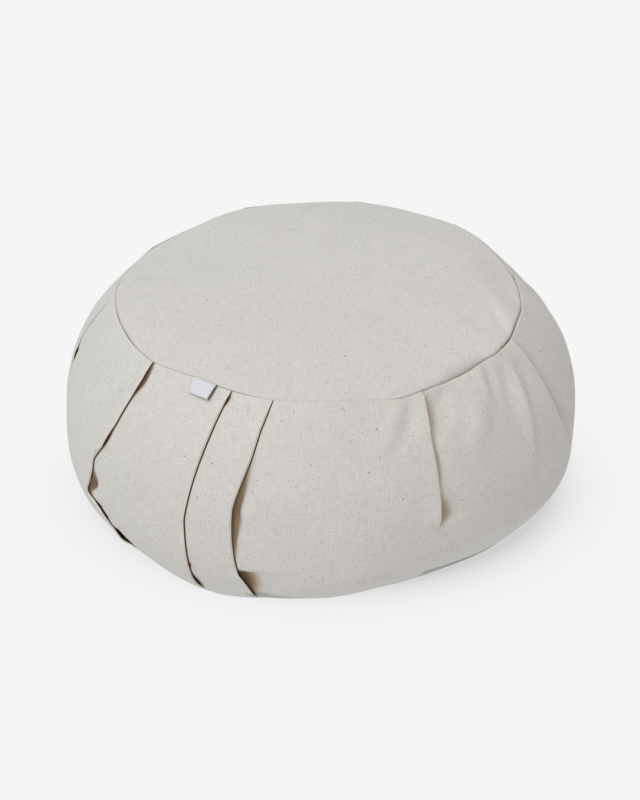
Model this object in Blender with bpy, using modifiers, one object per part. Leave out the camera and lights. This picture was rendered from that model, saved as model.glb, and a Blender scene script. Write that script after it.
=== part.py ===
"""Zafu: a round floor cushion with a pleated side wall, two round end panels and a seam label.

Metres, +Z up. The cushion stands on z = 0 with the centre of its base at the origin. Azimuths are
degrees, counter-clockwise from +X seen from above, so the front faces -Y at 270. A height share
runs from 0 at the base seam to 1 at the top seam.
"""
import math
from collections import namedtuple

import bmesh
import bpy
from mathutils import Vector

MM = 0.001

# Driving dimensions.
CROWN = 9.0 * MM                # rise of the top panel above its seam
CONTACT_RADIUS = 107.0 * MM     # flat part of the base, which rests
PANEL_CLOTH = 1.8 * MM          # a round panel, as a sheet
FOLD_THICKNESS = 1.6 * MM       # a pleat's fold: two plies of the side cloth
CLEARANCE = 0.3 * MM            # between neighbouring pieces
FILL_GAP = 0.6 * MM             # between a panel's inner face and the filled body
SEAM_DIP = 1.2 * MM             # depth of the valley along a seam
SEAM_ROLL = 5.0 * MM            # width over which the cloth rolls into the valley
SEAM_LEDGE = 2.2 * MM           # how far outside a panel's rim the side cloth meets the seam
SEAM_STEP = 0.6 * MM            # how far short of the panel's rim the side cloth stops
PANEL_PUFF = 1.2 * MM           # fullness of the cloth between two pleats

# The cushion's uneven outline, every 30 degrees: its seams, its girth and the powers of its curves.
Station = namedtuple(
    "Station",
    "seam_radius seam_height girth_radius girth_height base_radius base_height upper_curve lower_curve")
STATIONS = tuple(Station(*(MM * size for size in row[:6]), *row[6:]) for row in (
    (137.0, 169.5, 179.5, 60.0, 145.0, 13.0, 2.8, 2.2),    # 0, right
    (139.5, 167.0, 181.0, 60.0, 142.0, 14.0, 3.0, 2.4),
    (141.0, 169.5, 178.5, 60.0, 141.0, 14.0, 2.5, 2.4),
    (139.5, 169.5, 180.0, 64.0, 141.0, 14.0, 2.5, 2.4),    # 90, back
    (136.5, 170.5, 179.5, 66.0, 141.0, 14.0, 2.5, 2.4),
    (140.0, 166.0, 178.5, 66.0, 142.0, 14.0, 2.5, 2.4),
    (140.5, 170.5, 179.0, 76.0, 142.0, 15.0, 2.1, 2.2),    # 180, left
    (140.5, 167.5, 180.0, 74.0, 142.0, 14.0, 2.4, 2.4),
    (137.0, 168.0, 179.5, 70.0, 145.0, 13.0, 2.5, 2.6),
    (143.5, 170.0, 177.0, 63.0, 141.0, 15.0, 2.5, 2.5),    # 270, front
    (136.5, 165.5, 177.5, 68.0, 141.0, 19.0, 2.5, 1.8),
    (139.0, 169.0, 174.5, 62.0, 143.0, 15.0, 2.5, 1.8),
))

# Pleats in turn, counter-clockwise. Each is a fold lying over the cloth to its right. Its line is
# the azimuth of the fold's edge at height shares 1, 0.8, 0.6, 0.4, 0.2 and 0. Between openings
# the fold lies nearly closed.
Opening = namedtuple("Opening", "height reach stand mouth")
Pleat = namedtuple("Pleat", "name line overlap openings")


def opening(height, reach, stand, mouth):
    """A stretch where the fold stands off: centre and reach in height shares, sizes in mm."""
    return Opening(height, reach, stand * MM, mouth * MM)


PLEATS = (
    Pleat("right_rear", (14.0, 15.5, 16.5, 17.0, 17.5, 18.0), 13 * MM,
          (opening(0.55, 0.20, 1.5, 14),)),
    Pleat("back_right", (47.0, 46.0, 45.5, 46.0, 47.0, 48.0), 12 * MM,
          (opening(0.70, 0.15, 1.2, 14), opening(0.25, 0.10, 2.0, 12))),
    Pleat("back", (80.0, 82.0, 83.0, 83.5, 83.0, 82.0), 14 * MM,
          (opening(0.45, 0.20, 2.2, 12),)),
    Pleat("back_left", (114.0, 113.0, 112.0, 112.5, 114.0, 115.0), 12 * MM,
          (opening(0.85, 0.10, 1.8, 12), opening(0.35, 0.15, 1.6, 14))),
    Pleat("left_rear", (148.0, 149.5, 151.0, 151.5, 151.0, 150.0), 13 * MM,
          (opening(0.50, 0.20, 1.8, 13),)),
    Pleat("left", (182.3, 186.3, 189.0, 190.5, 192.0, 193.0), 13 * MM,
          (opening(0.74, 0.09, 2.6, 12),)),
    Pleat("front_left", (218.7, 218.9, 214.3, 208.5, 216.0, 222.0), 14 * MM,
          (opening(0.93, 0.07, 4.0, 8), opening(0.68, 0.13, 3.2, 9),
           opening(0.42, 0.08, 5.5, 12), opening(0.20, 0.09, 6.0, 12))),
    Pleat("label_side", (246.0, 243.1, 241.5, 240.5, 241.0, 242.0), 12 * MM,
          (opening(0.96, 0.05, 2.0, 8), opening(0.20, 0.07, 3.0, 10))),
    Pleat("front", (258.0, 254.2, 251.5, 251.4, 254.1, 257.5), 12 * MM,
          (opening(0.62, 0.22, 5.0, 9), opening(0.36, 0.16, 5.0, 9), opening(0.22, 0.06, 5.5, 18))),
    Pleat("front_right", (298.3, 296.4, 296.0, 294.5, 292.7, 291.0), 13 * MM,
          (opening(0.62, 0.14, 3.4, 24), opening(0.44, 0.10, 4.6, 14))),
    Pleat("right", (333.5, 337.6, 341.4, 345.9, 349.0, 351.0), 13 * MM,
          (opening(0.75, 0.30, 1.5, 18),)),
)
FOLD_ROUND = 0.4 * MM           # how far the rounded tip of a fold reaches past its corners
POCKET_OPENING = 0.35           # part of the opening that is left at the pocket's end
CLOSED_STAND = 0.4 * MM         # gap under a fold that lies closed
CLOSED_MOUTH = 14.0 * MM        # width over which the cloth beside it comes back up
FOLD_LIFT = 1.0 * MM            # rise of a closed fold's edge above the plain surface
LIFT_SHARE = 0.35               # part of an opening that lifts the fold, the rest sinks the cloth
LIFT_WIDTH = 18.0 * MM          # width over which a fold's edge rises

# Soft creases of the side cloth: azimuth and height share at both ends, half width, rise (trough < 0).
Crease = namedtuple("Crease", "start end width rise")
CREASES = (
    Crease((293.5, 0.97), (281.0, 0.60), 13 * MM, -1.8 * MM),
    Crease((314.0, 0.97), (320.0, 0.40), 13 * MM, -1.6 * MM),
    Crease((324.0, 0.95), (331.0, 0.35), 12 * MM, 1.6 * MM),
)

# The seam label, a folded tab.
LABEL_CENTRE = 237.2            # azimuth
LABEL_WIDTH = 18.0 * MM
LABEL_DROP = 10.5 * MM          # how far it reaches down from the seam
LABEL_CLOTH = 1.0 * MM
LABEL_STAND = 1.6 * MM          # how far its free end stands off the side

SIDE_SHARES = (0.0, 0.03, 0.07, 0.13, 0.20, 0.28, 0.36, 0.45, 0.54, 0.63, 0.72, 0.80, 0.87, 0.93,
               0.975, 1.0)
COLUMN_SPAN = 4.5               # degrees of cloth to a column between two pleats
FOLD_COLUMNS = 8                # columns that one fold takes
HIDDEN_STEP = 0.2               # degrees between those columns inside a seam
ROUND_COLUMNS = 60
LABEL_ROWS = (1.0, 0.75, 0.5, 0.25, 0.1, 0.0)
LABEL_COLUMNS = (-1.0, -0.5, 0.0, 0.5, 1.0)

COTTON = ("cotton_canvas", (0.60, 0.57, 0.53), 0.92)
LABEL_TAPE = ("label_tape", (0.80, 0.81, 0.83), 0.75)


def smooth_through(values, place, closed=False):
    """The smooth curve through evenly spaced values, at a fractional index."""
    count = len(values)
    first = math.floor(place)
    if not closed:
        first = min(max(first, 0), count - 2)
    share = place - first

    def value(index):
        return values[index % count] if closed else values[min(max(index, 0), count - 1)]

    before, left, right, after = (value(first + step) for step in (-1, 0, 1, 2))
    slope = right - left + (left - before)
    bend = 2 * before - 5 * left + 4 * right - after
    twist = 3 * (left - right) + after - before
    return left + 0.5 * share * (slope + share * (bend + share * twist))


def station(azimuth):
    """The cushion's outline sizes at an azimuth."""
    place = (azimuth % 360) * len(STATIONS) / 360
    return Station(*(smooth_through(column, place, closed=True) for column in zip(*STATIONS)))


def bell(distance, reach):
    """1 at no distance, falling smoothly to 0 at the reach."""
    share = min(abs(distance) / reach, 1.0)
    return (1 - share * share) ** 2


def seam_dip(distance):
    """Depth of the seam valley at a distance from the seam."""
    return SEAM_DIP * max(0.0, 1 - distance / SEAM_ROLL) ** 2


def side_point(azimuth, share):
    """Radius and height of the plain side surface, without pleats."""
    sizes = station(azimuth)
    top_radius = sizes.seam_radius + SEAM_LEDGE
    top = sizes.seam_height - SEAM_STEP
    bottom_radius = sizes.base_radius + SEAM_LEDGE
    bottom = sizes.base_height + SEAM_STEP
    height = bottom + (top - bottom) * share
    if height > sizes.girth_height:
        reach = (height - sizes.girth_height) / (top - sizes.girth_height)
        drawn_in = (sizes.girth_radius - top_radius) * reach ** sizes.upper_curve
    else:
        reach = (sizes.girth_height - height) / (sizes.girth_height - bottom)
        drawn_in = (sizes.girth_radius - bottom_radius) * reach ** sizes.lower_curve
    # The seams lie about 45 degrees off the vertical, so the dip goes in and along.
    dip_top = seam_dip((top - height) * math.sqrt(2)) / math.sqrt(2)
    dip_bottom = seam_dip((height - bottom) * math.sqrt(2)) / math.sqrt(2)
    return sizes.girth_radius - drawn_in - dip_top - dip_bottom, height - dip_top + dip_bottom


def top_surface(azimuth, share):
    """Radius and height of the top panel's outer face, from 0 at its centre to 1 at its rim."""
    sizes = station(azimuth)
    radius = (sizes.seam_radius - CLEARANCE) * share
    middle = sum(row.seam_height for row in STATIONS) / len(STATIONS)
    seam = middle + (sizes.seam_height - middle) * share ** 2
    crown = CROWN * (1 - share ** 2)
    return radius, seam + crown - seam_dip(sizes.seam_radius - radius)


def base_surface(azimuth, share):
    """Radius and height of the base panel's outer face, from 0 at the flat to 1 at its rim."""
    sizes = station(azimuth)
    radius = CONTACT_RADIUS + (sizes.base_radius - CLEARANCE - CONTACT_RADIUS) * share
    return radius, sizes.base_height * share ** 2


def next_pleat(index):
    return PLEATS[(index + 1) % len(PLEATS)]


def cloth_columns(index):
    """Where the columns lie between a pleat and the next, as shares of the way, closer near both."""
    span = (next_pleat(index).line[0] - PLEATS[index].line[0]) % 360
    count = round(span / COLUMN_SPAN) + 2
    return [0.5 - 0.5 * math.cos(math.pi * (column + 1) / (count + 1)) for column in range(count)]


def pleat_azimuth(pleat, share):
    return smooth_through(pleat.line, (1 - share) * (len(pleat.line) - 1))


def pleat_stand(pleat, share):
    """Gap under the fold and width of the dip beside it, at a height share."""
    stand = CLOSED_STAND
    mouth = CLOSED_MOUTH
    for place in pleat.openings:
        strength = bell(share - place.height, place.reach)
        stand += place.stand * strength
        mouth += (place.mouth - CLOSED_MOUTH) * strength
    return stand, max(mouth, 0.5 * CLOSED_MOUTH)


def fold_lift(pleat, share):
    """Rise of the fold's edge above the plain surface."""
    stand, _ = pleat_stand(pleat, share)
    return FOLD_LIFT + LIFT_SHARE * (stand - CLOSED_STAND)


def under_sink(pleat, share):
    """Depth of the cloth under the fold below the plain surface."""
    stand, _ = pleat_stand(pleat, share)
    return stand + FOLD_THICKNESS - fold_lift(pleat, share)


def crease_rise(azimuth, share, radius):
    """Sum of the soft creases at a place on the side."""
    rise = 0.0
    for crease in CREASES:
        (azimuth_0, share_0), (azimuth_1, share_1) = crease.start, crease.end
        along = (share - share_0) / (share_1 - share_0)
        if not 0 < along < 1:
            continue
        line = azimuth_0 + (azimuth_1 - azimuth_0) * along
        across = math.radians(azimuth - line) * radius
        rise += crease.rise * bell(across, crease.width) * math.sin(math.pi * along)
    return rise


def on_side(azimuth, share, offset):
    """A point of the side, moved out along the radius."""
    radius, height = side_point(azimuth, share)
    turn = math.radians(azimuth)
    radius += offset
    return Vector((radius * math.cos(turn), radius * math.sin(turn), height))


def side_section(share):
    """One closed section of the side: every pleat's back-and-forth fold, then the cloth to the next."""
    points = []
    for index, pleat in enumerate(PLEATS):
        following = next_pleat(index)
        edge = pleat_azimuth(pleat, share)
        radius, _ = side_point(edge, share)
        degrees = math.degrees(1 / radius)
        lift = fold_lift(pleat, share)
        sink = under_sink(pleat, share)
        inner = lift - FOLD_THICKNESS
        end_gap = 0.5 * CLOSED_STAND
        outer = -sink + end_gap + POCKET_OPENING * (inner + sink - end_gap)
        # The fold's edge, its inner face back to the pocket, and the cloth under it.
        middle = 0.5 * pleat.overlap
        for back, offset in ((FOLD_ROUND, lift), (-FOLD_ROUND, 0.5 * (lift + inner)),
                             (FOLD_ROUND, inner), (middle, 0.5 * (inner + outer)),
                             (pleat.overlap, outer), (pleat.overlap, -sink),
                             (middle, -sink), (0.0, -sink)):
            points.append(on_side(edge - back * degrees, share, offset))
        # The cloth from this fold to the next one.
        _, mouth = pleat_stand(pleat, share)
        next_edge = pleat_azimuth(following, share)
        span = (next_edge - edge) % 360
        for column in cloth_columns(index):
            azimuth = edge + span * column
            from_edge = span * column / degrees
            to_next = span * (1 - column) / degrees
            puff = PANEL_PUFF * math.sin(math.pi * column) * math.sin(math.pi * share)
            offset = (puff - sink * bell(from_edge, mouth)
                      + fold_lift(following, share) * bell(to_next, LIFT_WIDTH)
                      + crease_rise(azimuth, share, radius))
            points.append(on_side(azimuth, share, offset))
    return points


def hidden_section(share, place):
    """A plain section inside a seam, with the columns of side_section, from place(azimuth)."""
    points = []
    for index, pleat in enumerate(PLEATS):
        edge = pleat_azimuth(pleat, share)
        span = (pleat_azimuth(next_pleat(index), share) - edge) % 360
        azimuths = [edge + HIDDEN_STEP * (column - FOLD_COLUMNS + 1) for column in range(FOLD_COLUMNS)]
        azimuths += [edge + span * column for column in cloth_columns(index)]
        for azimuth in azimuths:
            radius, height = place(azimuth)
            turn = math.radians(azimuth)
            points.append(Vector((radius * math.cos(turn), radius * math.sin(turn), height)))
    return points


def under_top(inset):
    """Places of the body's crown, a set distance in from the top seam."""
    def place(azimuth):
        rim = station(azimuth).seam_radius
        radius, height = top_surface(azimuth, (rim - inset) / rim)
        return radius, height - PANEL_CLOTH - FILL_GAP
    return place


def over_base(inset):
    """Places of the body's underside, a set distance in from the base seam."""
    def place(azimuth):
        rim = station(azimuth).base_radius
        share = max(0.0, (rim - inset - CONTACT_RADIUS) / (rim - CONTACT_RADIUS))
        radius, height = base_surface(azimuth, share)
        slope = math.atan(2 * station(azimuth).base_height * share / (rim - CONTACT_RADIUS))
        return radius, height + (PANEL_CLOTH + FILL_GAP) / math.cos(slope)
    return place


def inside_top_seam(azimuth):
    sizes = station(azimuth)
    return sizes.seam_radius + CLEARANCE, sizes.seam_height - SEAM_DIP - PANEL_CLOTH - FILL_GAP


def inside_base_seam(azimuth):
    sizes = station(azimuth)
    return sizes.base_radius, sizes.base_height + PANEL_CLOTH + 2 * FILL_GAP


def loft(sections, low_end=None, high_end=None, closed=True):
    """A mesh through sections of equal length, with a point closing either end.

    Its faces point out where the sections run counter-clockwise and upwards.
    """
    mesh = bmesh.new()
    rings = [[mesh.verts.new(point) for point in section] for section in sections]
    count = len(rings[0])
    steps = range(count if closed else count - 1)
    for lower, upper in zip(rings, rings[1:]):
        for step in steps:
            following = (step + 1) % count
            mesh.faces.new((lower[step], lower[following], upper[following], upper[step]))
    for end, ring, reverse in ((low_end, rings[0], True), (high_end, rings[-1], False)):
        if end is None:
            continue
        pole = mesh.verts.new(end)
        for step in steps:
            corners = (ring[step], ring[(step + 1) % count], pole)
            mesh.faces.new(corners[::-1] if reverse else corners)
    return mesh


def add_object(name, mesh, material, collection, smooth_angle=40.0):
    """Turn a bmesh into a named object with one material."""
    label, colour, roughness = material
    finish = bpy.data.materials.get(label)
    if finish is None:
        finish = bpy.data.materials.new(label)
        finish.use_nodes = True
        shader = finish.node_tree.nodes["Principled BSDF"]
        shader.inputs["Base Color"].default_value = (*colour, 1.0)
        shader.inputs["Roughness"].default_value = roughness
        shader.inputs["Metallic"].default_value = 0.0
    data = bpy.data.meshes.new(name)
    mesh.to_mesh(data)
    mesh.free()
    data.shade_smooth()
    data.set_sharp_from_angle(angle=math.radians(smooth_angle))
    data.materials.append(finish)
    part = bpy.data.objects.new(name, data)
    collection.objects.link(part)
    return part


def add_thickness(part, thickness):
    """Give an open sheet its thickness, on its inner side."""
    wall = part.modifiers.new("Thickness", "SOLIDIFY")
    wall.thickness = thickness
    wall.offset = -1.0
    wall.use_even_offset = True


def round_section(surface, share):
    """One ring of a round panel."""
    points = []
    for column in range(ROUND_COLUMNS):
        azimuth = 360 * column / ROUND_COLUMNS
        radius, height = surface(azimuth, share)
        turn = math.radians(azimuth)
        points.append(Vector((radius * math.cos(turn), radius * math.sin(turn), height)))
    return points


def make_side_band(collection):
    """The pleated side wall on its filling, closed under both round panels."""
    sections = [hidden_section(0.0, over_base(inset)) for inset in (34 * MM, 20 * MM, 6 * MM)]
    sections.append(hidden_section(0.0, inside_base_seam))
    sections += [side_section(share) for share in SIDE_SHARES]
    sections.append(hidden_section(1.0, inside_top_seam))
    sections += [hidden_section(1.0, under_top(inset)) for inset in (5 * MM, 20 * MM, 70 * MM)]
    bottom = Vector((0.0, 0.0, PANEL_CLOTH + FILL_GAP))
    top = Vector((0.0, 0.0, top_surface(0.0, 0.0)[1] - PANEL_CLOTH - FILL_GAP))
    return add_object("side_band", loft(sections, bottom, top), COTTON, collection)


def make_top_panel(collection):
    """The crowned round panel of the top."""
    shares = (1.0, 0.982, 0.958, 0.90, 0.78, 0.58, 0.32)
    sections = [round_section(top_surface, share) for share in shares]
    crown = Vector((0.0, 0.0, top_surface(0.0, 0.0)[1]))
    panel = add_object("top_panel", loft(sections, high_end=crown), COTTON, collection)
    add_thickness(panel, PANEL_CLOTH)
    return panel


def make_base_panel(collection):
    """The round panel of the base, flat where it rests and curved up to its seam."""
    shares = (0.0, 0.25, 0.5, 0.75, 1.0)
    sections = [round_section(base_surface, share) for share in shares]
    centre = Vector((0.0, 0.0, 0.0))
    panel = add_object("base_panel", loft(sections, low_end=centre), COTTON, collection)
    add_thickness(panel, PANEL_CLOTH)
    return panel


def off_side(azimuth, share, distance):
    """A point a set distance off the plain side surface, square to it."""
    just_below = 0.01
    radius_low, height_low = side_point(azimuth, share - just_below)
    radius, height = side_point(azimuth, share)
    slope = Vector((radius - radius_low, height - height_low)).normalized()
    radius += distance * slope.y
    height -= distance * slope.x
    turn = math.radians(azimuth)
    return Vector((radius * math.cos(turn), radius * math.sin(turn), height))


def make_label_tab(collection):
    """The folded tab caught in the top seam, standing a little off the side."""
    sizes = station(LABEL_CENTRE)
    half_angle = math.degrees(0.5 * LABEL_WIDTH / sizes.seam_radius)
    share_drop = LABEL_DROP * math.sqrt(0.5) / (sizes.seam_height - sizes.base_height)
    sections = []
    for along in LABEL_ROWS:
        distance = 2 * CLEARANCE + LABEL_CLOTH + LABEL_STAND * along ** 2
        sections.append([off_side(LABEL_CENTRE + across * half_angle, 1 - along * share_drop, distance)
                         for across in LABEL_COLUMNS])
    tab = add_object("label_tab", loft(sections, closed=False), LABEL_TAPE, collection)
    add_thickness(tab, LABEL_CLOTH)
    return tab


def main():
    for existing in list(bpy.data.objects):
        bpy.data.objects.remove(existing, do_unlink=True)
    collection = bpy.data.collections.new("zafu_cushion")
    bpy.context.scene.collection.children.link(collection)
    make_side_band(collection)
    make_top_panel(collection)
    make_base_panel(collection)
    make_label_tab(collection)


main()
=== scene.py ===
"""Zafu: the cloth of a round floor cushion, its seam label, and a pale studio stage.

Metres, +Z up. The cushion stands on z = 0 with the centre of its base at the origin. Azimuths are
degrees, counter-clockwise from +X seen from above, so the front faces -Y at 270. A height share
runs from 0 at the base seam to 1 at the top seam.
"""
import math
from collections import namedtuple

import bmesh
import bpy
import numpy as np
from bpy.props import FloatProperty, FloatVectorProperty, PointerProperty
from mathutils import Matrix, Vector, noise


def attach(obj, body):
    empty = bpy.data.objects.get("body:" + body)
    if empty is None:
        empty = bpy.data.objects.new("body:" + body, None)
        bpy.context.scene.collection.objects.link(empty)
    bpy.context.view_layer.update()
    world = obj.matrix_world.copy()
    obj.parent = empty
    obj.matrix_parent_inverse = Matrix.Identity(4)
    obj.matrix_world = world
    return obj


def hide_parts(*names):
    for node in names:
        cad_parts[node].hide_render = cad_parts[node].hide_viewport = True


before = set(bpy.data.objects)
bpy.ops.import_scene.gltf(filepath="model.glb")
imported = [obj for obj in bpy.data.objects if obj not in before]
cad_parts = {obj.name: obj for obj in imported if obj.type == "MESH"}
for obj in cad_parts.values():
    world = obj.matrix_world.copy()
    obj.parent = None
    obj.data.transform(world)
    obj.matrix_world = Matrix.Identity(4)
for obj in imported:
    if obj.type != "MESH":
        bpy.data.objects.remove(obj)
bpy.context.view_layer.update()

bl_info = {
    "name": "Zafu Cushion",
    "version": (1, 0, 0),
    "blender": (4, 5, 0),
    "location": "View3D > Sidebar > Zafu",
    "description": "Pleated canvas floor cushion with its seam label and a pale stage",
    "category": "Add Mesh",
}

MM = 0.001
BODY = "root"

# The top seam, which the pleats pull out at their ends: its radius in millimetres at azimuths.
SEAM_LINE = ((0, 137.0), (14, 138.6), (30, 138.5), (47, 141.0), (62, 139.0), (80, 141.5), (97, 138.0),
             (114, 139.0), (130, 137.0), (148, 141.0), (165, 139.5), (183, 140.6), (202, 140.2),
             (219, 141.3), (234, 134.9), (246, 138.4), (258, 143.3), (282, 140.3), (290, 141.8),
             (298, 137.6), (309, 135.0), (320, 137.0), (325, 139.9), (333, 139.4), (342, 137.3))
SEAM_ROUND = (-0.9, 0.0, 0.9)    # degrees over which a corner of the seam is rounded

# At azimuths, how far the top seam is drawn in, as a share of the seam depth, and in millimetres how far
# its shade reaches onto the top panel.
SEAM_PULL = ((0, 0.6, 0.5), (15, 0.5, 0.5), (150, 0.4, 0.5), (182, 0.7, 0.5), (204, 0.6, 0.5),
             (212, 0.25, 0.5), (221, 0.15, 0.5), (230, 0.3, 0.5), (249, 0.45, 0.5), (256, 0.08, 0.5),
             (287, 0.05, 0.5), (292, 0.5, 0.6), (303, 0.6, 1.2), (310, 0.7, 2.6), (316, 0.8, 2.6),
             (322, 0.8, 1.0), (331, 1.1, 0.8), (345, 0.8, 0.5))

# Shade at the base seam at azimuths: on the side above it, and on the base panel below it.
BASE_SHADE = ((252.5, 0, 0), (253.3, 0.55, 0), (258, 0.5, 0), (262, 0.25, 0), (267, 0, 0), (299.5, 0, 0),
              (300.3, 0, 0.5), (308, 0, 0.6), (318, 0, 0.45), (338, 0, 0.4), (344, 0, 0))

# The cushion's uneven outline, every 30 degrees: its seams, its girth and the powers of its curves.
Station = namedtuple(
    "Station", "seam_height girth_radius girth_height base_radius base_height upper_curve lower_curve")
STATIONS = tuple(Station(*(MM * size for size in row[:5]), *row[5:]) for row in (
    (168.5, 178.5, 56.0, 144.0, 14.0, 3.4, 2.4),   # 0, right
    (169.5, 179.0, 56.0, 142.0, 14.0, 2.4, 2.4),
    (169.5, 178.5, 60.0, 141.0, 14.0, 2.5, 2.4),
    (169.0, 180.0, 64.0, 141.0, 14.0, 2.5, 2.4),   # 90, back
    (169.5, 179.5, 66.0, 141.0, 14.0, 2.5, 2.4),
    (165.0, 179.0, 66.0, 142.0, 14.0, 2.5, 2.4),
    (171.5, 179.0, 84.0, 142.5, 15.0, 2.0, 2.2),   # 180, left
    (168.0, 179.5, 70.0, 142.0, 14.0, 2.5, 2.4),
    (168.0, 177.0, 75.0, 149.0, 10.5, 2.5, 2.3),
    (170.0, 177.5, 62.0, 138.0, 17.0, 2.5, 2.5),   # 270, front
    (165.5, 176.0, 71.0, 142.0, 24.0, 2.5, 1.5),
    (169.0, 176.2, 59.0, 148.5, 17.0, 2.5, 1.3),
))
Outline = namedtuple("Outline", (*Station._fields, "seam_radius", "seam_pull", "seam_shade"))

# Pleats in turn, counter-clockwise. Each is a fold lying over the cloth to its right. Its course is
# the fold's edge from the top seam to the base seam, as azimuths and height shares.
Opening = namedtuple("Opening", "along before after stand gap soft tint inner")
Opened = namedtuple("Opened", "stand gap soft tint inner")
Flat = namedtuple("Flat", "start end kept")
Pleat = namedtuple("Pleat", "name overlap course openings flats")


def pleat(name, overlap, course, *openings, flats=()):
    """A pleat. An opening is where its fold stands off: widest place and reach both ways along it, how far it
    stands off, width of the gap and of the slope beside it, and the strength of the painted shade in the gap
    and under the fold.

    A flat is a stretch where the fold is pressed flat, and the share of its height that is kept there.
    """
    stood_off = tuple(Opening(*row[:3], *(MM * size for size in row[3:6]), *row[6:]) for row in openings)
    return Pleat(name, overlap * MM, course, stood_off, tuple(Flat(*flat) for flat in flats))


PLEATS = (
    pleat("right_rear", 13, ((14, 1), (16, 0.7), (17, 0.4), (18, 0)),
          (0.45, 0.20, 0.20, 1.5, 0.5, 12, 0.4, 0.6)),
    pleat("back_right", 12, ((47, 1), (45.5, 0.6), (46.5, 0.3), (48, 0)),
          (0.30, 0.15, 0.15, 1.2, 0.5, 12, 0.4, 0.6), (0.75, 0.10, 0.10, 2.0, 1.5, 8, 0.5, 0.7)),
    pleat("back", 14, ((80, 1), (82, 0.8), (83.5, 0.5), (82, 0)),
          (0.55, 0.20, 0.20, 2.2, 1.5, 8, 0.5, 0.7)),
    pleat("back_left", 12, ((114, 1), (112, 0.6), (113, 0.3), (115, 0)),
          (0.15, 0.10, 0.10, 1.8, 1.0, 10, 0.5, 0.7), (0.65, 0.15, 0.15, 1.6, 0.5, 12, 0.4, 0.6)),
    pleat("left_rear", 13, ((148, 1), (151, 0.6), (151.5, 0.3), (150, 0)),
          (0.50, 0.20, 0.20, 1.8, 1.0, 10, 0.5, 0.7)),
    pleat("left", 13, ((182.2, 1), (182.6, 0.93), (182.5, 0.87), (182.2, 0.82), (182.8, 0.77), (183.8, 0.74),
                       (183.9, 0.69), (184, 0.62), (188, 0.4), (191, 0)),
          (0.278, 0.030, 0.030, 0.9, 0.6, 3.0, 1.0, 1.0),
          flats=((-0.1, 0.06, 0.0), (0.06, 0.24, 0.35), (0.32, 1.1, 0.08))),
    pleat("front_left", 14, ((219.7, 1), (220, 0.932), (219.3, 0.868), (217.8, 0.748), (215.1, 0.62),
                             (212.2, 0.53), (211.9, 0.468), (211.1, 0.408), (209.4, 0.345), (209.3, 0.322),
                             (211.9, 0.312), (214.4, 0.295), (215.7, 0.258), (216.8, 0.215), (218.7, 0.192),
                             (220.3, 0.176), (222, 0.16), (222.6, 0.08), (222.6, 0)),
          (0.050, 0.100, 0.080, 2.0, 1.2, 2.5, 0.78, 0.75), (0.300, 0.070, 0.060, 1.0, 0.6, 2.5, 1.0, 1.0),
          (0.532, 0.076, 0.130, 1.7, 7.6, 2.2, 0.86, 0.42), (0.700, 0.055, 0.050, 1.4, 0.6, 2.5, 1.0, 1.0),
          (0.820, 0.050, 0.040, 4.2, 3.0, 5.0, 0.80, 0.95), flats=((0.865, 1.1, 0.04),)),
    pleat("label_side", 12, ((246, 1), (245.3, 0.963), (244.6, 0.92), (243.7, 0.848), (242.8, 0.772),
                             (241.9, 0.688), (240.5, 0.54), (240, 0.485), (240, 0.44), (240.1, 0.35),
                             (240.1, 0.25), (239.9, 0.15), (240.2, 0)),
          (0.030, 0.028, 0.028, 1.3, 0.8, 2.5, 1.0, 1.0), (0.760, 0.020, 0.020, 0.8, 0.8, 2.0, 1.0, 1.0),
          (0.885, 0.085, 0.060, 1.2, 0.7, 11.0, 0.80, 1.0), flats=((0.945, 1.1, 0.0),)),
    pleat("front", 12, ((257.9, 1), (255.8, 0.893), (254.5, 0.787), (252.9, 0.693), (251.9, 0.628),
                        (251.4, 0.588), (251.3, 0.522), (251.3, 0.45), (251.6, 0.367), (252, 0.3),
                        (252.4, 0.27), (253.4, 0.235), (254.1, 0.198), (254.6, 0.14), (255, 0)),
          (0.425, 0.260, 0.150, 3.8, 4.0, 2.0, 0.63, 0.58), (0.550, 0.130, 0.130, 2.0, 2.2, 3.0, 0.62, 0.60),
          (0.735, 0.020, 0.200, 3.2, 7.0, 36.0, 0.92, 0.80), flats=((0.915, 1.1, 0.0),)),
    pleat("front_right", 13, ((297.8, 1), (297.8, 0.975), (297.2, 0.938), (296.6, 0.873), (296.3, 0.8),
                              (296.3, 0.725), (296.2, 0.633), (296.1, 0.555), (295.8, 0.473), (295.1, 0.38),
                              (294.2, 0.295), (294.3, 0.11), (294.5, 0)),
          (0.080, 0.100, 0.130, 3.6, 5.0, 24.0, 0.34, 0.85), (0.280, 0.200, 0.200, 1.8, 2.6, 6.0, 0.32, 0.85),
          (0.522, 0.150, 0.060, 3.8, 8.4, 13.0, 0.40, 0.72), flats=((0.575, 0.93, 0.03),)),
    pleat("right", 13, ((333.7, 1), (334.2, 0.943), (334.9, 0.875), (335.6, 0.812), (336.2, 0.73),
                        (337.8, 0.623), (341, 0.508), (344.6, 0.388), (348, 0.2), (350, 0)),
          (0.050, 0.080, 0.140, 2.5, 1.2, 6.0, 0.40, 0.78), (0.280, 0.300, 0.400, 4.0, 2.5, 9.0, 0.36, 0.5),
          flats=((0.68, 1.1, 0.15),)),
)

# Soft creases of the side: azimuth and height share at both ends, half width, rise (trough < 0), and
# how far along the crease is strongest.
Crease = namedtuple("Crease", "start end width rise peak")


def creases(scale, *rows):
    """Creases with their ends in units of a scale and their sizes in millimetres."""
    return tuple(Crease(np.array(start) * scale, np.array(end) * scale, width * MM, rise * MM, peak)
                 for start, end, width, rise, peak in rows)


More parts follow.
